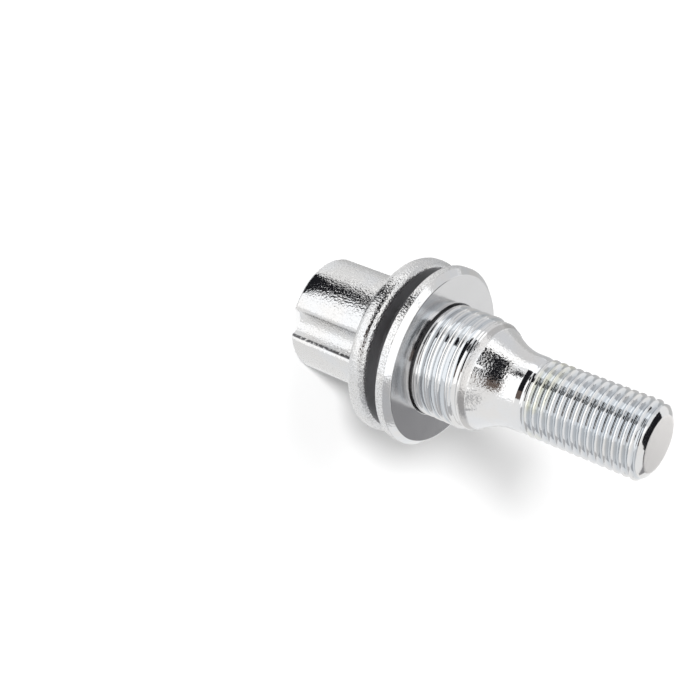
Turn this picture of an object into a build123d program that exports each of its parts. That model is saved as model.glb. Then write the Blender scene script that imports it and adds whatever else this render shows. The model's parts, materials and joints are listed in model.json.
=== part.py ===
"""Locking wheel bolt with a captive seat washer, standing on the flat end of its key head.

Units are millimetres. The bolt's axis is +Z, the origin is the middle of the head's flat end,
and the threaded end points up. The bolt is one forging: a round key head with three flutes, a
round flange, a seat collar, a barrel that keeps the washer on, a lead cone, a plain neck and
the thread. The washer is a second piece, which turns freely on the shank below the barrel.
The thread and the barrel's rolled ridges are plain cylinders of their outer size here.
"""
from build123d import *
import math
import os

# head that the key grips
HEAD_RADIUS = 10.95
HEAD_LENGTH = 18.1
HEAD_END_ROUND = 0.8
DEEP_FLUTE_RADIUS = 2.7
DEEP_FLUTE_DEPTH = 2.7
SHALLOW_FLUTE_RADIUS = 25.0
SHALLOW_FLUTE_DEPTH = 0.7
FLUTE_EDGE_ROUND = 0.9
DEEP_FLUTE_ANGLES = (-67.0, 53.0)
SHALLOW_FLUTE_ANGLE = 173.0

# flange under the head, with a rounded rim
FLANGE_RADIUS = 16.75
FLANGE_THICKNESS = 3.9
FLANGE_RIM_ROUND = 1.65

# collar and seat cone that carry the washer
COLLAR_RADIUS = 12.7
SEAT_SLOPE = 24.5
SHANK_RADIUS = 9.8

# captive washer, a little wider than the flange
WASHER_OVERHANG = 0.25
WASHER_THICKNESS = 2.85
WASHER_FACE_BEVEL = 1.1
WASHER_BACK_BEVEL = 0.3
WASHER_BORE_CLEARANCE = 0.35
WASHER_BORE_BREAK = 0.5
WASHER_RIM_GAP = 3.0
SEAT_CLEARANCE = 0.15

# barrel whose ridges hold the washer on
BARREL_RADIUS = 10.5
BARREL_START_ABOVE_WASHER = 0.45
BARREL_START_CHAMFER = 0.5
BARREL_LENGTH = 8.3
BARREL_SHOULDER_ROUND = 1.6

# lead cone, and the plain neck and thread, which are equally thick
CONE_HALF_ANGLE = 28.0
CONE_FOOT_ROUND = 10.0
THREAD_RADIUS = 7.0
NECK_LENGTH = 3.9
THREAD_LENGTH = 22.6
TIP_FACE_RADIUS = 5.1
TIP_CHAMFER_HEIGHT = 1.1

# heights worked out from the sizes above
FLANGE_TOP = HEAD_LENGTH + FLANGE_THICKNESS
WASHER_BACK = FLANGE_TOP + WASHER_RIM_GAP
WASHER_FACE = WASHER_BACK + WASHER_THICKNESS
BARREL_START = WASHER_FACE + BARREL_START_ABOVE_WASHER
BARREL_END = BARREL_START + BARREL_LENGTH
CONE_HEIGHT = (BARREL_RADIUS - THREAD_RADIUS) / math.tan(math.radians(CONE_HALF_ANGLE))
CONE_END = BARREL_END + CONE_HEIGHT
THREAD_START = CONE_END + NECK_LENGTH
THREAD_END = THREAD_START + THREAD_LENGTH
TIP = THREAD_END + TIP_CHAMFER_HEIGHT

# washer's rim, bore and seat, a cone that widens downwards from the bore to the back face
WASHER_RADIUS = FLANGE_RADIUS + WASHER_OVERHANG
WASHER_BORE_RADIUS = SHANK_RADIUS + WASHER_BORE_CLEARANCE
SEAT_MOUTH_RADIUS = COLLAR_RADIUS + WASHER_BORE_CLEARANCE
SEAT_RISE = math.tan(math.radians(SEAT_SLOPE))


def washer_seat_height(radius):
    """Height of the washer's own seat cone at a radius."""
    return WASHER_BACK + (SEAT_MOUTH_RADIUS - radius) * SEAT_RISE


def collar_seat_height(radius):
    """Height of the collar's cone, one running clearance below the washer's."""
    return washer_seat_height(radius) - SEAT_CLEARANCE


def key_section():
    """Section of the key head: a round with two deep flutes and a shallow one, edges rounded."""
    deep_centre = HEAD_RADIUS - DEEP_FLUTE_DEPTH + DEEP_FLUTE_RADIUS
    shallow_centre = HEAD_RADIUS - SHALLOW_FLUTE_DEPTH + SHALLOW_FLUTE_RADIUS
    section = Sketch() + Circle(HEAD_RADIUS)
    for angle in DEEP_FLUTE_ANGLES:
        section -= Rot(0, 0, angle) * Pos(deep_centre, 0) * Circle(DEEP_FLUTE_RADIUS)
    section -= Rot(0, 0, SHALLOW_FLUTE_ANGLE) * Pos(shallow_centre, 0) * Circle(SHALLOW_FLUTE_RADIUS)
    corners = section.vertices().filter_by(lambda v: math.hypot(v.X, v.Y) > HEAD_RADIUS - FLUTE_EDGE_ROUND)
    return fillet(corners, FLUTE_EDGE_ROUND)


def key_head():
    """Key head, with the edge of its end face rounded by a turned envelope."""
    overlap = FLANGE_THICKNESS / 2
    height = HEAD_LENGTH + overlap
    prism = extrude(key_section(), amount=height)
    envelope = Cylinder(HEAD_RADIUS, height, align=(Align.CENTER, Align.CENTER, Align.MIN))
    envelope = fillet(envelope.edges().sort_by(Axis.Z)[0], HEAD_END_ROUND)
    return prism & envelope


def turned(outline):
    """Solid turned about Z from a closed outline of (radius, height) points."""
    points = [(radius, 0, height) for radius, height in outline]
    return revolve(make_face(Polyline(points, close=True)), axis=Axis.Z)


def circle_edge(solid, radius, height):
    """The round edge of a turned solid at a radius and height."""
    def off(edge):
        centre = edge.arc_center if edge.geom_type == GeomType.CIRCLE else edge.center()
        size = edge.radius if edge.geom_type == GeomType.CIRCLE else 0
        return abs(size - radius) + abs(centre.Z - height)
    return min(solid.edges(), key=off)


def flange_and_shank():
    """Everything above the key head: flange, collar, seat cone, barrel, cone, neck and thread."""
    outline = [
        (0, HEAD_LENGTH),
        (FLANGE_RADIUS, HEAD_LENGTH),
        (FLANGE_RADIUS, FLANGE_TOP),
        (COLLAR_RADIUS, FLANGE_TOP),
        (COLLAR_RADIUS, collar_seat_height(COLLAR_RADIUS)),
        (SHANK_RADIUS, collar_seat_height(SHANK_RADIUS)),
        (SHANK_RADIUS, BARREL_START),
        (BARREL_RADIUS, BARREL_START + BARREL_START_CHAMFER),
        (BARREL_RADIUS, BARREL_END),
        (THREAD_RADIUS, CONE_END),
        (THREAD_RADIUS, THREAD_END),
        (TIP_FACE_RADIUS, TIP),
        (0, TIP),
    ]
    shank = turned(outline)
    rim = [circle_edge(shank, FLANGE_RADIUS, HEAD_LENGTH), circle_edge(shank, FLANGE_RADIUS, FLANGE_TOP)]
    shank = fillet(rim, FLANGE_RIM_ROUND)
    shank = fillet(circle_edge(shank, BARREL_RADIUS, BARREL_END), BARREL_SHOULDER_ROUND)
    return fillet(circle_edge(shank, THREAD_RADIUS, CONE_END), CONE_FOOT_ROUND)


def make_bolt():
    return key_head() + flange_and_shank()


def make_washer():
    """Thick washer: flat clamping face, bevelled rim, bore and a seat cone in its back."""
    outline = [
        (WASHER_BORE_RADIUS, washer_seat_height(WASHER_BORE_RADIUS)),
        (SEAT_MOUTH_RADIUS, WASHER_BACK),
        (WASHER_RADIUS - WASHER_BACK_BEVEL, WASHER_BACK),
        (WASHER_RADIUS, WASHER_BACK + WASHER_BACK_BEVEL),
        (WASHER_RADIUS, WASHER_FACE - WASHER_FACE_BEVEL),
        (WASHER_RADIUS - WASHER_FACE_BEVEL, WASHER_FACE),
        (WASHER_BORE_RADIUS + WASHER_BORE_BREAK, WASHER_FACE),
        (WASHER_BORE_RADIUS, WASHER_FACE - WASHER_BORE_BREAK),
    ]
    return turned(outline)


os.makedirs("parts", exist_ok=True)
for name, solid in {"bolt": make_bolt(), "captive_washer": make_washer()}.items():
    export_step(solid, f"parts/{name}.step")
    size = solid.bounding_box().size
    print(name, "solids", len(solid.solids()), "volume", round(solid.volume, 1), "size", size)
print("overall height", round(TIP, 3))
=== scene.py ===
# %% [markdown]
# # A locking wheel bolt with its captive washer
#
# The bolt is one steel forging, plated with bright zinc. Below the thread it has a plain neck, a lead
# cone and a barrel with rolled ridges, then a round flange and a fluted head that only its own key
# grips. A thick washer turns loosely between the flange and the ridges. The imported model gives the
# sizes and the places. This notebook rebuilds both pieces as fine meshes with their real thread and
# ridges, gives them plated finishes, and lights them softly on a pale floor.

import json
import math

import bmesh
import bpy
from mathutils import Euler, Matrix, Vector


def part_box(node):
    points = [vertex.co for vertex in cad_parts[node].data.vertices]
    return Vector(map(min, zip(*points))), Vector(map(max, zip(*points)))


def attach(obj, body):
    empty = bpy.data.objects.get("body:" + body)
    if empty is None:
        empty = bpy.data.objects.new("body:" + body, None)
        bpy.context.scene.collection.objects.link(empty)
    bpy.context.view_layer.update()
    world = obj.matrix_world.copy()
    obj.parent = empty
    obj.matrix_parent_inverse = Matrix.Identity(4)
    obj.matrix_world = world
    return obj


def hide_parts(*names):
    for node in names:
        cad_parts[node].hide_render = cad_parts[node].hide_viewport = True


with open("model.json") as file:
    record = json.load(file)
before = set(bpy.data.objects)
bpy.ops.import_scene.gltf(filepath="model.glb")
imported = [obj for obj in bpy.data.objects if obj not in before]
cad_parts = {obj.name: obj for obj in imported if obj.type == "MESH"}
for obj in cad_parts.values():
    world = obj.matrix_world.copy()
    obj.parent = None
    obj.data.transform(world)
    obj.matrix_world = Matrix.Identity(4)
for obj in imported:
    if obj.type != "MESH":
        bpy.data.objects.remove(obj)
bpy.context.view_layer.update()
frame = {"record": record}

# %% [markdown]
# ## Sizes
#
# Blender works in metres, while a bolt is thought of in millimetres, so MM turns one into the other.
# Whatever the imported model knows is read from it: the boxes of the two nodes give the tip, the flange
# and the washer, and the mounts give the thread and the barrel. The rest are the same shop sizes
# that the solids have. COLUMNS is how many vertices each ring has: enough that no facet shows, few
# enough that the thread stays light.

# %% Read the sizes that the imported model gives
MM = 0.001
mounts = {mount["name"]: mount for mount in frame["record"]["mounts"]}
bolt_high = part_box("bolt")[1]
washer_low, washer_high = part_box("captive_washer")
TIP = bolt_high.z
FLANGE_RADIUS = bolt_high.x
WASHER_RADIUS = washer_high.x
WASHER_BACK = washer_low.z
WASHER_FACE = washer_high.z
THREAD_RADIUS = mounts["threaded_end"]["dims"]["r_mm"] * MM
BARREL_RADIUS = mounts["barrel"]["dims"]["r_mm"] * MM
print("tip", round(TIP / MM, 2), "mm, flange", FLANGE_RADIUS / MM, "mm, washer", WASHER_RADIUS / MM, "mm")

# %% Set the shop sizes of the bolt and the washer
HEAD_RADIUS = 10.95 * MM
HEAD_LENGTH = 18.1 * MM
HEAD_END_ROUND = 0.8 * MM
HEAD_ROOT_ROUND = 0.5 * MM
FLUTE_EDGE_ROUND = 0.9 * MM
FLUTES = {-67.0: (2.7 * MM, 2.7 * MM), 53.0: (2.7 * MM, 2.7 * MM), 173.0: (25.0 * MM, 0.7 * MM)}
FLANGE_TOP = WASHER_BACK - 3.0 * MM
FLANGE_RIM_ROUND = 1.65 * MM
COLLAR_RADIUS = 12.7 * MM
SHANK_RADIUS = 9.8 * MM
SEAT_SLOPE = math.tan(math.radians(24.5))
SEAT_CLEARANCE = 0.15 * MM
BORE_CLEARANCE = 0.35 * MM
BARREL_START = WASHER_FACE + 0.45 * MM
BARREL_END = BARREL_START + 8.3 * MM
CONE_ANGLE = math.radians(28)
CONE_END = BARREL_END + (BARREL_RADIUS - THREAD_RADIUS) / math.tan(CONE_ANGLE)
CONE_FOOT_ROUND = 10.0 * MM
THREAD_START = CONE_END + 3.9 * MM
TIP_FACE_RADIUS = 5.1 * MM
COLUMNS = 256
print("thread from", round(THREAD_START / MM, 2), "to", round(TIP / MM, 2), "mm")

# %% [markdown]
# ## Rows of vertices
#
# Nearly every surface of the bolt is turned about one axis. The easiest way to model it is to grow
# it ring by ring: extrude the open ring of edges, then move the new vertices onto a circle of the next
# radius and height. Each step is one operator, and the list of radii and heights reads like a lathe
# drawing.

# %% Helpers that grow a surface ring by ring
LEVEL_TOLERANCE = 0.001 * MM


def of_kind(geometry, kind):
    """The vertices, edges or faces among an operator's results."""
    return [item for item in geometry if isinstance(item, kind)]


def next_ring(bm, ring):
    """Extrudes a closed ring of edges and gives the new ring, which lies where the old one is."""
    grown = bmesh.ops.extrude_edge_only(bm, edges=ring)["geom"]
    fresh = set(of_kind(grown, bmesh.types.BMVert))
    return [edge for edge in of_kind(grown, bmesh.types.BMEdge) if set(edge.verts) <= fresh]


def ring_verts(ring):
    return list({vert for edge in ring for vert in edge.verts})


def place_ring(ring, radius, height):
    """Moves a ring onto a circle about the axis, and keeps each vertex's angle."""
    for vert in ring_verts(ring):
        outward = vert.co.xy.normalized() * radius
        vert.co = (outward.x, outward.y, height)


def turn_profile(bm, ring, profile):
    """Grows the surface through every (radius, height) of a profile."""
    for radius, height in profile:
        ring = next_ring(bm, ring)
        place_ring(ring, radius, height)
    return ring


def arc_points(centre, radius, start, end, steps):
    """Points of a rounding in the (radius, height) plane, without its first point."""
    turns = [math.radians(start + (end - start) * step / steps) for step in range(1, steps + 1)]
    return [(centre[0] + radius * math.cos(turn), centre[1] + radius * math.sin(turn)) for turn in turns]


def open_ring(bm, height):
    """The open edges that lie at one height."""
    return [edge for edge in bm.edges if edge.is_boundary
            and all(abs(vert.co.z - height) < LEVEL_TOLERANCE for vert in edge.verts)]


def smoothly(value, start, end):
    """Rises from 0 to 1 between two values, with no corner at either."""
    share = min(max((value - start) / (end - start), 0), 1)
    return share * share * (3 - 2 * share)


def absorb(bm, other):
    """Copies another bmesh into this one, and frees it."""
    copy = bpy.data.meshes.new("copy")
    other.to_mesh(copy)
    other.free()
    bm.from_mesh(copy)
    bpy.data.meshes.remove(copy)


print("ring helpers ready")

# %% [markdown]
# ## The thread and the ridges
#
# A real thread is one groove that climbs the bolt. It could be faked with stacked rings, but rings
# don't meet the tip's chamfer the way a helix does. The Spin operator can climb while it turns: a
# column of teeth turns an eighth of the way round and rises by an eighth of the pitch, and seven copies
# go on from there, so that the last one lands on the first and merges with it. One eighth first and
# copies after it is much quicker than one long spin. A plane then trims each end level.

# %% A helper that rolls a band of climbing teeth
SECTORS = 8
WELD = 0.002 * MM
CUT_TOLERANCE = 0.0001 * MM


def rolled_band(tooth, pitch, crest_height, bottom, top):
    """A climbing band of teeth about the axis, trimmed level at both ends.

    The tooth is a list of (radius, offset along the axis) over one pitch, and crest_height is where
    one crest lies on the +X side.
    """
    bm = bmesh.new()
    first = math.floor((bottom - crest_height) / pitch) - 2
    last = math.ceil((top - crest_height) / pitch) + 1
    column = [bm.verts.new((radius, 0, crest_height + turn * pitch + offset))
              for turn in range(first, last + 1) for radius, offset in tooth]
    edges = [bm.edges.new(pair) for pair in zip(column, column[1:])]
    copies = SECTORS - 1
    bmesh.ops.spin(bm, geom=column + edges, cent=(0, 0, 0), axis=(0, 0, 1), dvec=(0, 0, pitch / COLUMNS),
                   angle=math.tau / SECTORS, steps=COLUMNS // SECTORS, use_merge=False,
                   use_duplicate=False)
    bmesh.ops.spin(bm, geom=bm.verts[:] + bm.edges[:] + bm.faces[:], cent=(0, 0, 0), axis=(0, 0, 1),
                   dvec=(0, 0, pitch / SECTORS), angle=math.tau * copies / SECTORS, steps=copies,
                   use_merge=False, use_duplicate=True)
    bmesh.ops.remove_doubles(bm, verts=bm.verts, dist=WELD)
    for height, side in ((bottom, -1), (top, 1)):
        bmesh.ops.bisect_plane(bm, geom=bm.verts[:] + bm.edges[:] + bm.faces[:], dist=CUT_TOLERANCE,
                               plane_co=(0, 0, height), plane_no=(0, 0, side), clear_outer=True)
    return bm


def set_radii(bm, rule):
    """Moves each vertex straight out or in, to the radius that the rule gives for (radius, height)."""
    for vert in bm.verts:
        radius = vert.co.xy.length
        vert.co.xy *= rule(radius, vert.co.z) / radius


print("a band is", SECTORS, "sectors of", COLUMNS // SECTORS, "columns")

# %% Roll the thread, with its fading start and its chamfered end
THREAD_PITCH = 1.5 * MM
CREST = THREAD_RADIUS - 0.01 * MM
ROOT = CREST - 0.84 * MM
HALF_TOOTH = [(ROOT + 0.012 * MM, 0.64 * MM), (ROOT + 0.075 * MM, 0.53 * MM), (ROOT + 0.45 * MM, 0.31 * MM),
              (CREST - 0.05 * MM, 0.095 * MM), (CREST, 0.04 * MM)]
THREAD_TOOTH = [(ROOT, -0.75 * MM)] + [(radius, -offset) for radius, offset in HALF_TOOTH] + HALF_TOOTH[::-1]
FIRST_CREST = THREAD_START + 2.54 * MM
DEEPENS_FROM, FULL_DEPTH_AT = 0.5 * MM, 2.6 * MM
WAIST_DEPTH = 0.28 * MM
WAIST_AT, WAIST_END = 1.0 * MM, 1.7 * MM
CHAMFER_SLOPE = 1.75
LOWER_CHAMFER_SLOPE = 1.05
LOWER_CHAMFER_RISE = 0.45 * MM
CHAMFER_RING = TIP - 0.5 * MM


def thread_rule(radius, height):
    """Fades the thread in over a shallow waist, and trims it by the tip's chamfer."""
    along = height - THREAD_START
    waist = WAIST_DEPTH * min(max(along / WAIST_AT, 0), 1) * (1 - smoothly(along, WAIST_AT, WAIST_END))
    depth = (THREAD_RADIUS - radius) * smoothly(along, DEEPENS_FROM, FULL_DEPTH_AT)
    drop = TIP - height
    chamfer = min(drop * CHAMFER_SLOPE, LOWER_CHAMFER_RISE + drop * LOWER_CHAMFER_SLOPE)
    return min(THREAD_RADIUS - max(depth, waist), TIP_FACE_RADIUS + chamfer)


bolt = rolled_band(THREAD_TOOTH, THREAD_PITCH, FIRST_CREST, THREAD_START, CHAMFER_RING)
set_radii(bolt, thread_rule)
print("thread faces", len(bolt.faces), "turns", round((TIP - THREAD_START) / THREAD_PITCH, 1))

# %% [markdown]
# ## The barrel's ridges
#
# The barrel is rolled too: pairs of thin ridges climb it with smooth lands between them. They are
# what keeps the washer on the shank. They fade into a ring at the washer, and the last turn lies on a
# low shelf above the cone, so the rule lessens their depth and their radius there.

# %% Roll the ridges
RIDGE_PITCH = 2.14 * MM
RIDGE_DEPTH = 0.36 * MM
LAND = BARREL_RADIUS - RIDGE_DEPTH
HALF_RIDGE = [(LAND + 0.04 * MM, 0.84 * MM), (LAND, 0.66 * MM), (LAND + 0.09 * MM, 0.52 * MM),
              (BARREL_RADIUS - 0.06 * MM, 0.37 * MM), (BARREL_RADIUS, 0.30 * MM),
              (BARREL_RADIUS - 0.05 * MM, 0.23 * MM), (BARREL_RADIUS - 0.24 * MM, 0.08 * MM)]
RIDGE_TOOTH = [(LAND + 0.05 * MM, -1.04 * MM)] + [(radius, -offset) for radius, offset in HALF_RIDGE]
RIDGE_TOOTH += [(BARREL_RADIUS - 0.26 * MM, 0)] + HALF_RIDGE[::-1]
BAND_BOTTOM = BARREL_START + 0.45 * MM
BAND_TOP = BARREL_END + 1.1 * MM
SHELF_DROP = 0.4 * MM
SHELF_START = BARREL_END - 0.55 * MM
SHELF_FLAT = BARREL_END - 0.2 * MM
SHELF_RIDGE_LOSS = 0.55
FIRST_RIDGE = BARREL_START + 3.39 * MM
RIDGES_FULL = BAND_BOTTOM + 0.5 * MM
RIDGES_FADE, RIDGES_GONE = BAND_TOP - 0.3 * MM, BAND_TOP - 0.05 * MM


def ridge_rule(radius, height):
    """Fades the ridges at both ends, and lowers the last turn to a shelf before the cone."""
    on_shelf = smoothly(height, SHELF_START, SHELF_FLAT)
    shown = smoothly(height, BAND_BOTTOM, RIDGES_FULL) * (1 - SHELF_RIDGE_LOSS * on_shelf)
    shown *= 1 - smoothly(height, RIDGES_FADE, RIDGES_GONE)
    return BARREL_RADIUS - SHELF_DROP * on_shelf - (BARREL_RADIUS - radius) * shown


barrel = rolled_band(RIDGE_TOOTH, RIDGE_PITCH, FIRST_RIDGE, BAND_BOTTOM, BAND_TOP)
set_radii(barrel, ridge_rule)
print("barrel faces", len(barrel.faces))

# %% Join the two bands in one mesh
absorb(bolt, barrel)
rims = (BAND_BOTTOM, BAND_TOP, THREAD_START, CHAMFER_RING)
print("edges of the open rings", [len(open_ring(bolt, height)) for height in rims])

# %% [markdown]
# ## The tip, the neck and the cone
#
# From the thread's upper ring the chamfer runs on to the flat tip, with a small break at its edge.
# From its lower ring the neck and the concave foot of the cone grow down to a thin lip and the shelf
# of the barrel's band, and Bridge Loops closes the last gap between the two. The rows of the lip and
# the shelf are given as steps outwards and upwards, in millimetres.

# %% Close the tip
TIP_BREAK = 0.12 * MM
TIP_BREAK_DROP = 0.02 * MM
tip_edge = [(TIP_FACE_RADIUS + TIP_BREAK * CHAMFER_SLOPE / 2, TIP - TIP_BREAK * 0.5),
            (TIP_FACE_RADIUS, TIP - TIP_BREAK_DROP), (TIP_FACE_RADIUS - TIP_BREAK, TIP),
            (TIP_FACE_RADIUS - 4 * TIP_BREAK, TIP)]
ring = turn_profile(bolt, open_ring(bolt, CHAMFER_RING), tip_edge)
bmesh.ops.edgeloop_fill(bolt, edges=ring)
print("tip closed at", round(TIP / MM, 2), "mm")

# %% Grow the neck and the cone down to the barrel
NECK_ROW = THREAD_START - 0.1 * MM
FOOT_ROWS = 14
LIP = BAND_TOP + 1.2 * MM
LIP_STEPS = [(-0.05, 0.09), (0.09, 0), (0.25, -0.1)]
SHELF_STEPS = [(-0.14, 0.15), (-0.01, 0.03)]


def stepped(radius, height, steps):
    """Rows beside a corner, given by their steps outwards and upwards in millimetres."""
    return [(radius + out * MM, height + up * MM) for out, up in steps]


foot_reach = CONE_FOOT_ROUND * math.tan(CONE_ANGLE / 2)
foot = arc_points((THREAD_RADIUS + CONE_FOOT_ROUND, CONE_END + foot_reach), CONE_FOOT_ROUND,
                  180, 180 + math.degrees(CONE_ANGLE), FOOT_ROWS)
lip_radius = BARREL_RADIUS - (LIP - BARREL_END) * math.tan(CONE_ANGLE)
neck = [(THREAD_RADIUS, NECK_ROW), (THREAD_RADIUS, CONE_END + foot_reach)] + foot
neck += stepped(lip_radius, LIP, LIP_STEPS)
neck += stepped(BARREL_RADIUS - SHELF_DROP, BAND_TOP, SHELF_STEPS)
ring = turn_profile(bolt, open_ring(bolt, THREAD_START), neck)
bmesh.ops.bridge_loops(bolt, edges=ring + open_ring(bolt, BAND_TOP))
print("neck and cone rows", len(neck))

# %% [markdown]
# ## The shank, the seat collar and the flange
#
# The rings go on below the barrel: the plain shank that the washer's bore turns on, the cone that
# the washer sits on, and the thick flange with its rounded rim. Only the roundings need many rows,
# so arc_points works those out.

# %% Grow the shank, the collar and the flange
def seat_height(radius):
    """Height of the collar's cone, one running clearance below the washer's own seat."""
    return WASHER_BACK + (COLLAR_RADIUS + BORE_CLEARANCE - radius) * SEAT_SLOPE - SEAT_CLEARANCE


FLANGE_INSIDE = 13.6 * MM
RIM_ROWS = 8
BARREL_LIP = BARREL_START - 0.2 * MM
rim = FLANGE_RADIUS - FLANGE_RIM_ROUND
shank = stepped(BARREL_RADIUS, BARREL_START, [(-0.02, 0.1), (-0.12, -0.1), (-0.35, -0.2)])
shank += [(SHANK_RADIUS, BARREL_LIP), (SHANK_RADIUS, seat_height(SHANK_RADIUS)),
          (COLLAR_RADIUS, seat_height(COLLAR_RADIUS)), (COLLAR_RADIUS, FLANGE_TOP), (rim, FLANGE_TOP)]
shank += arc_points((rim, FLANGE_TOP - FLANGE_RIM_ROUND), FLANGE_RIM_ROUND, 90, 0, RIM_ROWS)
shank += [(FLANGE_RADIUS, HEAD_LENGTH + FLANGE_RIM_ROUND)]
shank += arc_points((rim, HEAD_LENGTH + FLANGE_RIM_ROUND), FLANGE_RIM_ROUND, 0, -90, RIM_ROWS)
shank += [(FLANGE_INSIDE, HEAD_LENGTH)]
turn_profile(bolt, open_ring(bolt, BAND_BOTTOM), shank)
print("flange from", HEAD_LENGTH / MM, "to", round(FLANGE_TOP / MM, 2), "mm")

# %% [markdown]
# ## The fluted key head
#
# The head isn't round, so it needs an outline of its own. Spin draws one arc after another from a
# single vertex: the head's own radius, a rounded edge, the hollow of a flute, the other rounded
# edge, and on to the next flute. The law of cosines gives how far each arc turns, so that they meet
# without a kink. The ring is then extruded like the others. The head grows in a small mesh of its own,
# because each operator is slower the more faces lie around it, and is joined to the flange at the end.

# %% Draw the outline of the head
SMALL_ARC = 2 * MM
SMALL_ARC_STEP = math.radians(14)
LARGE_ARC_STEP = math.radians(2.5)


def spin_arc(bm, vert, centre, turn):
    """Draws an arc about a centre, starting at a vertex, and gives its last vertex."""
    reach = (vert.co.xy - Vector(centre)).length
    steps = max(3, math.ceil(abs(turn) / (LARGE_ARC_STEP if reach > SMALL_ARC else SMALL_ARC_STEP)))
    drawn = bmesh.ops.spin(bm, geom=[vert], cent=(*centre, vert.co.z), axis=(0, 0, 1), dvec=(0, 0, 0),
                           angle=turn, steps=steps, use_merge=False, use_duplicate=False)
    return of_kind(drawn["geom_last"], bmesh.types.BMVert)[0]


def polar(radius, angle):
    return Vector((radius * math.cos(angle), radius * math.sin(angle)))


def head_outline(bm, height):
    """Draws the key head's closed outline in an empty bmesh, anticlockwise, and gives its edges."""
    flutes = sorted((math.radians(angle), *size) for angle, size in FLUTES.items())
    openings = []
    for middle, radius, depth in flutes:
        distance = HEAD_RADIUS - depth + radius
        reach = HEAD_RADIUS - FLUTE_EDGE_ROUND
        span = radius + FLUTE_EDGE_ROUND
        half = math.acos((reach ** 2 + distance ** 2 - span ** 2) / (2 * reach * distance))
        hollow = math.acos((span ** 2 + distance ** 2 - reach ** 2) / (2 * span * distance))
        openings.append((middle, distance, reach, half, hollow))
    start = polar(HEAD_RADIUS, openings[0][0] - openings[0][3])
    vert = bm.verts.new((start.x, start.y, height))
    first = vert
    for index, (middle, distance, reach, half, hollow) in enumerate(openings):
        vert = spin_arc(bm, vert, polar(reach, middle - half), half + hollow)
        vert = spin_arc(bm, vert, polar(distance, middle), -2 * hollow)
        vert = spin_arc(bm, vert, polar(reach, middle + half), half + hollow)
        following = openings[(index + 1) % len(openings)]
        gap = (following[0] - following[3] - middle - half) % math.tau
        vert = spin_arc(bm, vert, (0, 0), gap)
    bmesh.ops.pointmerge(bm, verts=[vert, first], merge_co=first.co)
    return bm.edges[:]


head = bmesh.new()
outline = head_outline(head, HEAD_LENGTH - HEAD_ROOT_ROUND)
print("head outline of", len(outline), "edges")

# %% Extrude the head down to its rounded end
def end_envelope(height):
    """The largest radius that the head's rounded end leaves at a height."""
    drop = max(HEAD_END_ROUND - height, 0)
    return HEAD_RADIUS - HEAD_END_ROUND + math.sqrt(HEAD_END_ROUND ** 2 - drop ** 2)


END_ROWS = 6
ring = outline
for row in range(END_ROWS + 1):
    height = HEAD_END_ROUND * (1 - math.sin(math.radians(90 * row / END_ROWS)))
    ring = next_ring(head, ring)
    for vert in ring_verts(ring):
        shrink = min(end_envelope(height) / vert.co.xy.length, 1)
        vert.co = (vert.co.x * shrink, vert.co.y * shrink, height)
bmesh.ops.edgeloop_fill(head, edges=ring)
print("head end closed at", height)

# %% Flare the root and join it to the flange
ROOT_ROWS = 4
LOOKUP_DIGITS = 7


def spot(vert):
    """A vertex's place, rounded so that a dictionary can find it again."""
    return vert.co.to_tuple(LOOKUP_DIGITS)


bmesh.ops.recalc_face_normals(head, faces=head.faces)
head.normal_update()
flare = [(HEAD_ROOT_ROUND * (1 - math.cos(turn)), HEAD_ROOT_ROUND * math.sin(turn))
         for turn in (math.radians(90 * row / ROOT_ROWS) for row in range(ROOT_ROWS + 1))]
ring = outline
outward = {spot(vert): vert.normal.xy.normalized() for vert in ring_verts(ring)}
for (spread, rise), (next_spread, next_rise) in zip(flare, flare[1:]):
    ring = next_ring(head, ring)
    moved = {}
    for vert in ring_verts(ring):
        direction = outward[spot(vert)]
        vert.co.xy += direction * (next_spread - spread)
        vert.co.z += next_rise - rise
        moved[spot(vert)] = direction
    outward = moved
absorb(bolt, head)
bmesh.ops.triangle_fill(bolt, use_beauty=True, use_dissolve=False, edges=open_ring(bolt, HEAD_LENGTH))
bmesh.ops.recalc_face_normals(bolt, faces=bolt.faces)
print("open edges left on the bolt", sum(edge.is_boundary for edge in bolt.edges), "faces", len(bolt.faces))

# %% [markdown]
# ## From a mesh to a piece
#
# A bmesh only becomes something to look at when it is written to a mesh and given to an object.
# Smooth shading hides the facets of the turned surfaces, edges that are sharper than 35 degrees stay
# crisp, and the Weighted Normal modifier keeps flat faces flat beside their roundings.

# %% Turn each bmesh into a piece that rides on its body
SHARP_ANGLE = math.radians(35)


def finish_piece(bm, name, body, node):
    mesh = bpy.data.meshes.new(name)
    bm.to_mesh(mesh)
    bm.free()
    mesh.shade_smooth()
    mesh.set_sharp_from_angle(angle=SHARP_ANGLE)
    piece = bpy.data.objects.new(name, mesh)
    bpy.context.scene.collection.objects.link(piece)
    weighted = piece.modifiers.new("weighted", "WEIGHTED_NORMAL")
    weighted.keep_sharp = True
    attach(piece, body)
    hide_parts(node)
    triangles = sum(len(face.vertices) - 2 for face in mesh.polygons)
    print(name, "faces", len(mesh.polygons), "triangles", triangles)
    return piece


bolt_piece = finish_piece(bolt, "bolt_forging", "bolt", "bolt")

# %% [markdown]
# ## The captive washer
#
# The washer is turned from its cross-section: a flat face, a wide bevel and a short rim, a flat
# back, and the cone that sits on the collar. Beveling the section's corners before the spin is
# cheaper than beveling edges after it, and gives the same soft edges.

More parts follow.
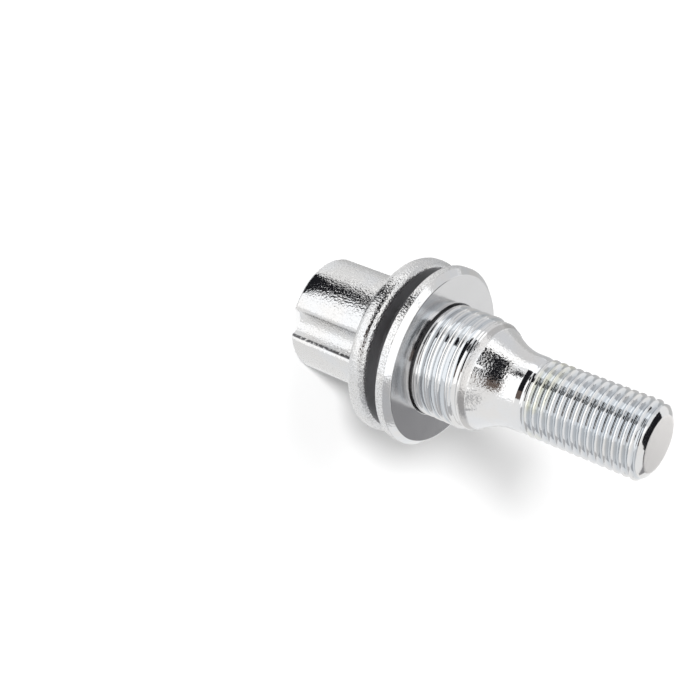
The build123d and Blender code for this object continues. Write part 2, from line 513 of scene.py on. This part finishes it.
# %% Turn the washer from its section
WASHER_FACE_BEVEL = 1.1 * MM
WASHER_BACK_BEVEL = 0.3 * MM
BORE_BREAK = 0.5 * MM
EDGE_ROUND = 0.12 * MM
bore = SHANK_RADIUS + BORE_CLEARANCE
mouth = COLLAR_RADIUS + BORE_CLEARANCE
section = [(bore, WASHER_BACK + (mouth - bore) * SEAT_SLOPE), (mouth, WASHER_BACK),
           (WASHER_RADIUS - WASHER_BACK_BEVEL, WASHER_BACK), (WASHER_RADIUS, WASHER_BACK + WASHER_BACK_BEVEL),
           (WASHER_RADIUS, WASHER_FACE - WASHER_FACE_BEVEL), (WASHER_RADIUS - WASHER_FACE_BEVEL, WASHER_FACE),
           (bore + BORE_BREAK, WASHER_FACE), (bore, WASHER_FACE - BORE_BREAK)]
washer = bmesh.new()
corners = [washer.verts.new((radius, 0, height)) for radius, height in section]
for pair in zip(corners, corners[1:] + corners[:1]):
    washer.edges.new(pair)
bmesh.ops.bevel(washer, geom=washer.verts[:], offset=EDGE_ROUND, offset_type="OFFSET", affect="VERTICES",
                segments=4, profile=0.5, material=-1)
bmesh.ops.spin(washer, geom=washer.verts[:] + washer.edges[:], cent=(0, 0, 0), axis=(0, 0, 1),
               dvec=(0, 0, 0), angle=math.tau, steps=COLUMNS, use_merge=True, use_duplicate=False)
bmesh.ops.remove_doubles(washer, verts=washer.verts, dist=WELD)
bmesh.ops.recalc_face_normals(washer, faces=washer.faces)
print("open edges left on the washer", sum(edge.is_boundary for edge in washer.edges))
washer_piece = finish_piece(washer, "washer_ring", "washer", "captive_washer")

# %% [markdown]
# ## Node sums that read like sums
#
# A material that changes over a surface is a sum of masks and noises. Adding each Math node by hand
# hides the sum behind wiring. The small class below wraps an output socket and gives it the signs
# of arithmetic, so that 1 - mask adds its own node. Its method node adds any other kind: first the
# settings, then the inputs.

# %% A socket that can be added, multiplied and mixed
class Flow:
    """An output socket in a node tree, which takes part in sums. Without a socket it only starts one."""

    def __init__(self, tree, socket=None):
        self.tree = tree
        self.socket = socket

    def node(self, kind, settings=None, inputs=None, output=0):
        """Adds a node: its settings come first, then the values or links of its inputs."""
        made = self.tree.nodes.new(kind)
        for name, value in (settings or {}).items():
            setattr(made, name, value)
        for name, value in (inputs or {}).items():
            if isinstance(value, Flow):
                self.tree.links.new(value.socket, made.inputs[name])
            else:
                made.inputs[name].default_value = value
        return Flow(self.tree, made.outputs[output] if made.outputs else None)

    def maths(self, operation, first, second=0.0):
        return self.node("ShaderNodeMath", {"operation": operation}, {0: first, 1: second})

    def __add__(self, other):
        return self.maths("ADD", self, other)

    def __radd__(self, other):
        return self.maths("ADD", other, self)

    def __sub__(self, other):
        return self.maths("SUBTRACT", self, other)

    def __rsub__(self, other):
        return self.maths("SUBTRACT", other, self)

    def __mul__(self, other):
        return self.maths("MULTIPLY", self, other)

    def __rmul__(self, other):
        return self.maths("MULTIPLY", other, self)

    def ramp(self, start, end):
        """Rises smoothly from 0 to 1 while this value goes from start to end."""
        values = {"Value": self, "From Min": start, "From Max": end, "To Min": 0.0, "To Max": 1.0}
        return self.node("ShaderNodeMapRange", {"interpolation_type": "SMOOTHSTEP"}, values)

    def band(self, start, end, edge):
        """1 between two values and 0 outside them, with soft edges."""
        return self.ramp(start, start + edge) * (1 - self.ramp(end - edge, end))

    def paint(self, under, over):
        """Lays one colour over another where this value is 1."""
        settings = {"data_type": "RGBA", "blend_type": "MIX"}
        return self.node("ShaderNodeMix", settings, {"Factor": self, 6: under, 7: over}, 2)


print("node helpers ready")

# %% [markdown]
# ## Bright zinc plating
#
# Bright zinc is a thin metal skin that copies whatever was done to the steel below. It is smooth but
# never quite flat, and a grain of a third of a millimetre breaks up the edges of what it mirrors. The
# forged head and flange have the coarsest grain and faint lines along the axis, the turned surfaces
# keep faint rings, and the tip and the washer's face are duller. The grooves are painted darker: this
# is painted shade for the shade that falls in them. All of these are masks on the height and the
# radius, which the Object coordinates give, because each piece's origin is the middle of the head's end.

# %% Noise and places that the finishes share
def radius_about(point, x_middle, y_middle):
    """The distance from a line along the axis, which stands at a given x and y."""
    x, y = (point.node("ShaderNodeSeparateXYZ", None, {0: point}, axis) - middle
            for axis, middle in (("X", x_middle), ("Y", y_middle)))
    return point.maths("SQRT", x * x + y * y)


def place_on_bolt(start):
    """The point on the piece, its radius and its height, all in millimetres."""
    place = start.node("ShaderNodeTexCoord", output=3)
    point = start.node("ShaderNodeVectorMath", {"operation": "SCALE"}, {0: place, "Scale": 1 / MM})
    return point, radius_about(point, 0, 0), point.node("ShaderNodeSeparateXYZ", None, {0: point}, "Z")


def noise(point, per_mm, detail=1.0):
    """Noise from 0 to 1 with this many grains to a millimetre."""
    values = {"Vector": point, "Scale": per_mm, "Detail": detail}
    return point.node("ShaderNodeTexNoise", {"noise_dimensions": "3D"}, values)


def drawn_out(point, per_mm):
    """Noise with a scale of its own along each axis, which draws it out into lines or rings."""
    stretched = point.node("ShaderNodeVectorMath", {"operation": "MULTIPLY"}, {0: point, 1: per_mm})
    return noise(stretched, per_mm=1.0, detail=2.0)


def plated(name, rule):
    """A plated metal whose colour, roughness and bump height in millimetres come from a rule."""
    material = bpy.data.materials.new(name)
    material.use_nodes = True
    tree = material.node_tree
    shader = next(node for node in tree.nodes if node.type == "BSDF_PRINCIPLED")
    shader.inputs["Metallic"].default_value = 1.0
    colour, roughness, height = rule(*place_on_bolt(Flow(tree)))
    bump = height.node("ShaderNodeBump", None, {"Height": height * MM, "Distance": 1.0, "Strength": 1.0})
    tree.links.new(colour.socket, shader.inputs["Base Color"])
    tree.links.new(roughness.socket, shader.inputs["Roughness"])
    tree.links.new(bump.socket, shader.inputs["Normal"])
    print(name, "nodes", len(tree.nodes))
    return material


print("noise and places ready")

# %% [markdown]
# ## The bolt's finish
#
# The colours are those of fresh, warm, yellowish and worn zinc and of bare steel, with darker greys
# painted in as shade and a near black painted in as a dark reflection. The masks say where each lies:
# the forged end, the tip, the gap behind the washer, the cone, and the grooves of the thread and the
# ridges; the gap and the grooves get painted shade. A painted dark reflection line lies beside each deep
# flute, at an angle from the middle of the flute that a constant below gives. Heights of the
# bump are in millimetres, and soft edges are a tenth or two wide, so that no mask ends like a sticker.

# %% Name the bolt's metals and how strongly each shows
ZINC = (0.735, 0.745, 0.76, 1)
WARM_ZINC = (0.745, 0.738, 0.73, 1)
# Painted shade: the bluish grey below darkens the grooves of the thread and the ridges, for the shade that
# falls in them.
GROOVE_SHADE_ZINC = (0.52, 0.56, 0.60, 1)
YELLOW_ZINC = (0.75, 0.745, 0.65, 1)
WORN_ZINC = (0.50, 0.50, 0.50, 1)
# Painted shade: this dark grey darkens the gap between the flange and the washer, for the shade that falls
# there.
GAP_SHADE_ZINC = (0.44, 0.44, 0.45, 1)
BARE_STEEL = (0.83, 0.81, 0.795, 1)
GREY_STEEL = (0.66, 0.66, 0.665, 1)
# Painted shade: this dark brown grey darkens the last groove above the shelf, for the shade in it.
LAST_GROOVE_SHADE = (0.20, 0.18, 0.165, 1)
# Painted dark reflection: this near black draws a dark line beside each deep flute.
PAINTED_DARK_LINE = (0.06, 0.06, 0.065, 1)
FORGED_WEAR, SPOT_WEAR = 0.22, 0.5
YELLOW_SHARE, GROOVE_SHADE_SHARE, LAST_GROOVE_SHADE_SHARE, DARK_LINE_SHARE = 0.8, 0.7, 0.35, 0.9
PLATE_ROUGHNESS, CLOUD_ROUGHNESS, SPECK_ROUGHNESS = 0.05, 0.05, 0.2
TIP_ROUGHNESS, GAP_ROUGHNESS = 0.18, 0.45
SMOOTH_GRAIN, FORGED_GRAIN, CONE_GRAIN = 0.007, 0.108, 0.038
PEEL_HEIGHT, LINE_HEIGHT, RING_HEIGHT = 0.012, 0.02, 0.003
LINES_PER_MM = (4.0, 4.0, 0.1)
RINGS_PER_MM = (0.05, 0.05, 8.0)
EDGE, WIDE_EDGE = 0.1, 0.3
# The painted dark reflection line beside each deep flute: its angle from the flute's middle, and how far
# inside the head's radius it lies.
DARK_LINE_TURN = math.radians(14.2)
DARK_LINE_INSET = 0.65
print("forged grain", FORGED_GRAIN, "mm, painted dark lines", round(math.degrees(DARK_LINE_TURN), 1), "degrees off")

# %% Find the grooves and the painted dark reflection lines
def groove_masks(radius, height):
    """The ridges' grooves, the thread's groove and the last groove above the shelf."""
    level = radius + height.ramp(SHELF_START / MM, SHELF_FLAT / MM) * (SHELF_DROP / MM)
    ridges = 1 - level.ramp(LAND / MM + 0.04, BARREL_RADIUS / MM - EDGE)
    ridges = ridges * height.band(BAND_BOTTOM / MM, BAND_TOP / MM - 0.2, WIDE_EDGE)
    thread = 1 - radius.ramp(ROOT / MM + EDGE / 2, CREST / MM - EDGE)
    thread = thread * height.band(THREAD_START / MM + 0.6, CHAMFER_RING / MM - 0.2, 0.5)
    return ridges, thread, height.band(BAND_TOP / MM + 0.1, LIP / MM, 0.15)


def painted_dark_lines(point):
    """The broken painted dark reflection line beside each deep flute."""
    lines = [polar(HEAD_RADIUS / MM - DARK_LINE_INSET, math.radians(angle) + DARK_LINE_TURN)
             for angle, (hollow, depth) in FLUTES.items() if hollow == depth]
    near, far = (1 - radius_about(point, *line).ramp(0.2, 0.45) for line in lines)
    return (near + far) * noise(point, per_mm=1.6, detail=2.0).ramp(0.34, 0.48)


print("groove masks ready")

# %% Give the bolt its finish
def bolt_rule(point, radius, height):
    forged = 1 - height.ramp(FLANGE_TOP / MM - EDGE, FLANGE_TOP / MM)
    on_head = 1 - height.ramp(HEAD_LENGTH / MM - WIDE_EDGE, HEAD_LENGTH / MM)
    on_tip = height.ramp(TIP / MM - 0.05, TIP / MM - 0.01)
    in_gap = height.band(FLANGE_TOP / MM - EDGE, BARREL_LIP / MM + EDGE / 2, EDGE)
    on_cone = height.band(BAND_TOP / MM, THREAD_START / MM, WIDE_EDGE)
    first_turns = height.band(THREAD_START / MM + 1.0, THREAD_START / MM + 7.0, 2.0)
    ridge_groove, thread_groove, last_groove = groove_masks(radius, height)
    cloud = noise(point, per_mm=0.18, detail=3.0)
    spots = noise(point, per_mm=4.0)
    colour = cloud.ramp(0.35, 0.65).paint(ZINC, WARM_ZINC)
    worn = FORGED_WEAR + (1 - on_head) * spots.ramp(0.48, 0.66) * SPOT_WEAR
    colour = (forged * worn).paint(colour, WORN_ZINC)
    colour = (first_turns * cloud.ramp(0.42, 0.56) * YELLOW_SHARE).paint(colour, YELLOW_ZINC)
    # Painted shade: the grooves of the ridges and the thread are painted a darker bluish grey.
    colour = ((ridge_groove + thread_groove) * GROOVE_SHADE_SHARE).paint(colour, GROOVE_SHADE_ZINC)
    # Painted shade: the last groove above the shelf is painted dark.
    colour = (last_groove * LAST_GROOVE_SHADE_SHARE).paint(colour, LAST_GROOVE_SHADE)
    # Painted dark reflection: a broken near-black line beside each deep flute.
    colour = (painted_dark_lines(point) * on_head * DARK_LINE_SHARE).paint(colour, PAINTED_DARK_LINE)
    colour = on_tip.paint(colour, BARE_STEEL)
    # Painted shade: the flange's face, the collar and the shank in the gap behind the washer are painted
    # dark.
    colour = in_gap.paint(colour, GAP_SHADE_ZINC)
    specks = (forged + on_cone * 0.8) * noise(point, per_mm=3.0).ramp(0.5, 0.58)
    roughness = PLATE_ROUGHNESS + cloud * CLOUD_ROUGHNESS + specks * SPECK_ROUGHNESS
    roughness = roughness + on_tip * TIP_ROUGHNESS + in_gap * GAP_ROUGHNESS
    coarse = SMOOTH_GRAIN + forged * FORGED_GRAIN + on_cone * CONE_GRAIN
    grain = (1 - on_tip) * noise(point, per_mm=2.6) * coarse
    peel = noise(point, per_mm=0.7) * PEEL_HEIGHT
    lines = on_head * drawn_out(point, LINES_PER_MM) * LINE_HEIGHT
    rings = (1 - forged) * drawn_out(point, RINGS_PER_MM) * RING_HEIGHT
    return colour, roughness, grain + peel + lines + rings


bolt_piece.data.materials.append(plated("bolt_zinc", bolt_rule))

# %% [markdown]
# ## The washer's finish
#
# The washer was stamped and then turned on its face. Its rim shows the coarse grain of the shear,
# its bevel is clean, and its face is a softer grey. The back and the bore lie in the gap, and their
# darker colour is painted shade. The rule is built like the bolt's, with fewer places.

# %% Give the washer its finish
RIM_WEAR, RIM_SPOT_WEAR = 0.1, 0.7
WASHER_ROUGHNESS, WASHER_CLOUD_ROUGHNESS, FACE_ROUGHNESS = 0.06, 0.08, 0.07
WASHER_GRAIN, RIM_GRAIN = 0.02, 0.09
FACE_RING_HEIGHT = 0.002


def washer_rule(point, radius, height):
    bevel_start = (WASHER_FACE - WASHER_FACE_BEVEL) / MM
    on_face = height.ramp(WASHER_FACE / MM - 0.04, WASHER_FACE / MM - 0.01)
    on_rim = radius.ramp(WASHER_RADIUS / MM - 0.1, WASHER_RADIUS / MM - 0.02)
    on_rim = on_rim * (1 - height.ramp(bevel_start - 0.05, bevel_start + 0.1))
    in_gap = (1 - height.ramp(WASHER_BACK / MM + 0.02, WASHER_BACK / MM + 0.15)) * (1 - on_rim)
    cloud = noise(point, per_mm=0.22, detail=3.0)
    spots = noise(point, per_mm=3.5)
    colour = cloud.ramp(0.35, 0.65).paint(ZINC, WARM_ZINC)
    colour = (on_rim * (RIM_WEAR + spots.ramp(0.46, 0.64) * RIM_SPOT_WEAR)).paint(colour, WORN_ZINC)
    colour = on_face.paint(colour, GREY_STEEL)
    # Painted shade: the washer's back and bore, which lie in the gap, are painted dark.
    colour = in_gap.paint(colour, GAP_SHADE_ZINC)
    roughness = WASHER_ROUGHNESS + cloud * WASHER_CLOUD_ROUGHNESS
    roughness = roughness + on_face * FACE_ROUGHNESS + in_gap * GAP_ROUGHNESS
    grain = (1 - on_face) * noise(point, per_mm=2.6) * (WASHER_GRAIN + on_rim * RIM_GRAIN)
    peel = noise(point, per_mm=0.7) * PEEL_HEIGHT
    rings = on_face * drawn_out(point, RINGS_PER_MM) * FACE_RING_HEIGHT
    return colour, roughness, grain + peel + rings


washer_piece.data.materials.append(plated("washer_zinc", washer_rule))

# %% [markdown]
# ## Floor and world
#
# The floor is pale and takes the bolt's soft shadow. The world is white where the camera sees it or
# the metal mirrors it, and dimmer for the light that falls on the floor, so that the sun can draw a
# shadow there.

# %% Lay the floor and set the world
FLOOR_HALF = 3.0
PAPER = (0.86, 0.86, 0.86, 1)
PAPER_GLOW = 0.1
WORLD_ON_THINGS, WORLD_SEEN = 0.40, 1.0
PURE_WHITE = (1, 1, 1, 1)


def seen_directly(start):
    """1 for rays from the camera and for mirrored or refracted ones, 0 for scattered light."""
    camera, glossy, transmitted = (start.node("ShaderNodeLightPath", output=name)
                                   for name in ("Is Camera Ray", "Is Glossy Ray", "Is Transmission Ray"))
    return start.maths("MINIMUM", camera + glossy + transmitted, 1.0)


def flat_piece(name, bm):
    mesh = bpy.data.meshes.new(name)
    bm.to_mesh(mesh)
    bm.free()
    piece = bpy.data.objects.new(name, mesh)
    bpy.context.scene.collection.objects.link(piece)
    return piece


def plain_material(name, shader_of):
    """A material whose one surface shader a function makes, without the default one."""
    material = bpy.data.materials.new(name)
    material.use_nodes = True
    material.node_tree.nodes.clear()
    start = Flow(material.node_tree)
    start.node("ShaderNodeOutputMaterial", None, {"Surface": shader_of(start)})
    return material


def paper(start):
    """Matt paper that glows a little where it is seen, nearly white but with its shadow kept."""
    glow = start.node("ShaderNodeEmission", None, {"Color": PURE_WHITE, "Strength": 1.0})
    sheet = start.node("ShaderNodeBsdfDiffuse", None, {"Color": PAPER})
    return start.node("ShaderNodeMixShader", None, {0: seen_directly(start) * PAPER_GLOW, 1: sheet, 2: glow})


floor_bm = bmesh.new()
bmesh.ops.create_grid(floor_bm, x_segments=1, y_segments=1, size=FLOOR_HALF)
floor = flat_piece("floor", floor_bm)
floor.data.materials.append(plain_material("pale_paper", paper))
floor.visible_glossy = False

world = bpy.data.worlds.new("studio")
bpy.context.scene.world = world
world.use_nodes = True
world.node_tree.nodes.clear()
start = Flow(world.node_tree)
dim = start.node("ShaderNodeBackground", None, {"Color": PURE_WHITE, "Strength": WORLD_ON_THINGS})
white = start.node("ShaderNodeBackground", None, {"Color": PURE_WHITE, "Strength": WORLD_SEEN})
both = start.node("ShaderNodeMixShader", None, {0: seen_directly(start), 1: dim, 2: white})
start.node("ShaderNodeOutputWorld", None, {"Surface": both})
print("floor and world ready")

# %% [markdown]
# ## Light and cards
#
# Plated metal has no look of its own: it shows what stands round it. A product photographer puts
# white panels and black cards about such a part, and their edges draw its form. Each card here is a
# patch of a large sphere round the bolt, given by its compass angles and heights, that only
# reflections see. The white panels are brighter than white, because zinc gives back only three
# quarters of what it mirrors. One dark strip lies on the table and runs away from the bolt: because
# it is near, the head shows it as a broad band and the thread as a row of small diamonds. The two
# soft suns are only for the shadow.

# %% Make a card that only reflections see
CARD_DISTANCE = 0.6
CARD_ROWS, CARD_COLUMNS = 12, 24


def mirrored_only(name, bm, colour):
    """A glowing piece of the stage that nothing but a reflection sees."""
    def glow(start):
        return start.node("ShaderNodeEmission", None, {"Color": (*colour, 1), "Strength": 1.0})

    piece = flat_piece(name, bm)
    piece.data.materials.append(plain_material(name, glow))
    piece.visible_camera = False
    piece.visible_diffuse = False
    piece.visible_shadow = False
    piece.visible_transmission = False


def card(name, around, above, colour):
    """A patch of a sphere between two azimuths and two elevations, in degrees."""
    low, high = (math.radians(angle) for angle in above)
    start, end = (math.radians(angle) for angle in around)
    bm = bmesh.new()
    corner = bm.verts.new(Euler((0, -low, start)).to_matrix() @ Vector((CARD_DISTANCE, 0, 0)))
    side = Euler((0, 0, start)).to_matrix() @ Vector((0, -1, 0))
    bmesh.ops.spin(bm, geom=[corner], cent=(0, 0, 0), axis=side, dvec=(0, 0, 0), angle=high - low,
                   steps=CARD_ROWS, use_merge=False, use_duplicate=False)
    bmesh.ops.spin(bm, geom=bm.verts[:] + bm.edges[:], cent=(0, 0, 0), axis=(0, 0, 1), dvec=(0, 0, 0),
                   angle=end - start, steps=CARD_COLUMNS, use_merge=False, use_duplicate=False)
    mirrored_only(name, bm, colour)
    print(name, "azimuth", around, "elevation", above)


print("cards stand", CARD_DISTANCE, "m from the bolt")

# %% Stand the cards round the bolt
WHITE = (1.45, 1.45, 1.45)
PALE = (0.8, 0.8, 0.81)
LIGHT_GREY = (0.62, 0.62, 0.62)
MID_GREY = (0.55, 0.55, 0.56)
DARK_GREY = (0.30, 0.30, 0.31)
BROWN = (0.16, 0.125, 0.11)
BLACK = (0.015, 0.015, 0.018)
card("panel_low", (-122, -50), (-60, -3), WHITE)
card("panel_side", (-174, -150), (-28, 50), WHITE)
card("panel_grey", (-215, -174), (-28, 50), PALE)
card("panel_high", (-150, -35), (44, 80), WHITE)
card("card_front", (-150, -85), (-3, 33), BLACK)
card("card_warm", (-85, -62), (-3, 30), BROWN)
card("card_behind", (60, 142), (44, 88), BLACK)
card("card_beside", (100, 142), (-40, 22), LIGHT_GREY)
card("card_far", (60, 90.5), (26.5, 43.5), DARK_GREY)
card("card_low", (-40, 40), (24, 50), MID_GREY)

# %% Lay a dark strip and a shaded patch on the table
def table_card(name, corners, colour):
    """A flat card on the table, given by its corners in millimetres."""
    bm = bmesh.new()
    outline = [bm.verts.new((x * MM, y * MM, 0)) for x, y in corners]
    bmesh.ops.contextual_create(bm, geom=outline)
    mirrored_only(name, bm, colour)
    print(name, "corners", len(outline))


STRIP = [(-1.5, -11.2), (-6.5, -9.2), (-28, -19), (-52, -47), (-130, -143), (-98, -167), (-18, -29)]
SHADE = [(14, 14), (60, 60), (30, 135), (-8, 135), (-8, 17)]
SHADED_PAPER = (0.74, 0.74, 0.74)
table_card("dark_strip", STRIP, BLACK)
table_card("shaded_patch", SHADE, SHADED_PAPER)

# %% Let two soft suns draw the shadow
def soft_sun(name, azimuth, elevation, spread, energy):
    """A wide sun that stands at a compass angle and a height, both in degrees."""
    light = bpy.data.lights.new(name, "SUN")
    light.angle = math.radians(spread)
    light.energy = energy
    sun = bpy.data.objects.new(name, light)
    around, above = math.radians(azimuth), math.radians(elevation)
    towards = Vector((*polar(math.cos(above), around), math.sin(above)))
    sun.rotation_euler = towards.to_track_quat("Z", "Y").to_euler()
    sun.visible_glossy = False
    bpy.context.scene.collection.objects.link(sun)
    print(name, "stands towards", tuple(round(c, 2) for c in towards))


soft_sun("main_sun", azimuth=-101, elevation=29, spread=11, energy=4.7)
soft_sun("side_sun", azimuth=-144, elevation=50, spread=30, energy=0.8)

# %% [markdown]
# ## Camera
#
# The photograph looks down at the bolt from beside it, and the bolt runs from the left to the lower
# right. The bolt stands upright here, so the camera takes the same place in front of it and is
# rolled over about its own line of sight.

# %% Place the camera
CAMERA_PLACE = Vector((0.0, -0.19898, 0.14019))
CAMERA_HEADING = math.radians(88.546)
CAMERA_DIP = math.radians(33.594)
CAMERA_ROLL = math.radians(112.53)
LENS, SENSOR = 64.563, 36
NEAREST_SEEN = 0.01
camera_data = bpy.data.cameras.new("camera")
camera_data.lens = LENS
camera_data.sensor_width = SENSOR
camera_data.clip_start = NEAREST_SEEN
camera = bpy.data.objects.new("camera", camera_data)
bpy.context.scene.collection.objects.link(camera)
sight = Vector((*polar(math.cos(CAMERA_DIP), CAMERA_HEADING), -math.sin(CAMERA_DIP)))
level = sight.to_track_quat("-Z", "Y")
camera.rotation_euler = (level @ Euler((0, 0, CAMERA_ROLL)).to_quaternion()).to_euler()
camera.location = CAMERA_PLACE
bpy.context.scene.camera = camera
bpy.context.scene.view_settings.view_transform = "Standard"
print("camera looks along", tuple(round(c, 4) for c in sight))
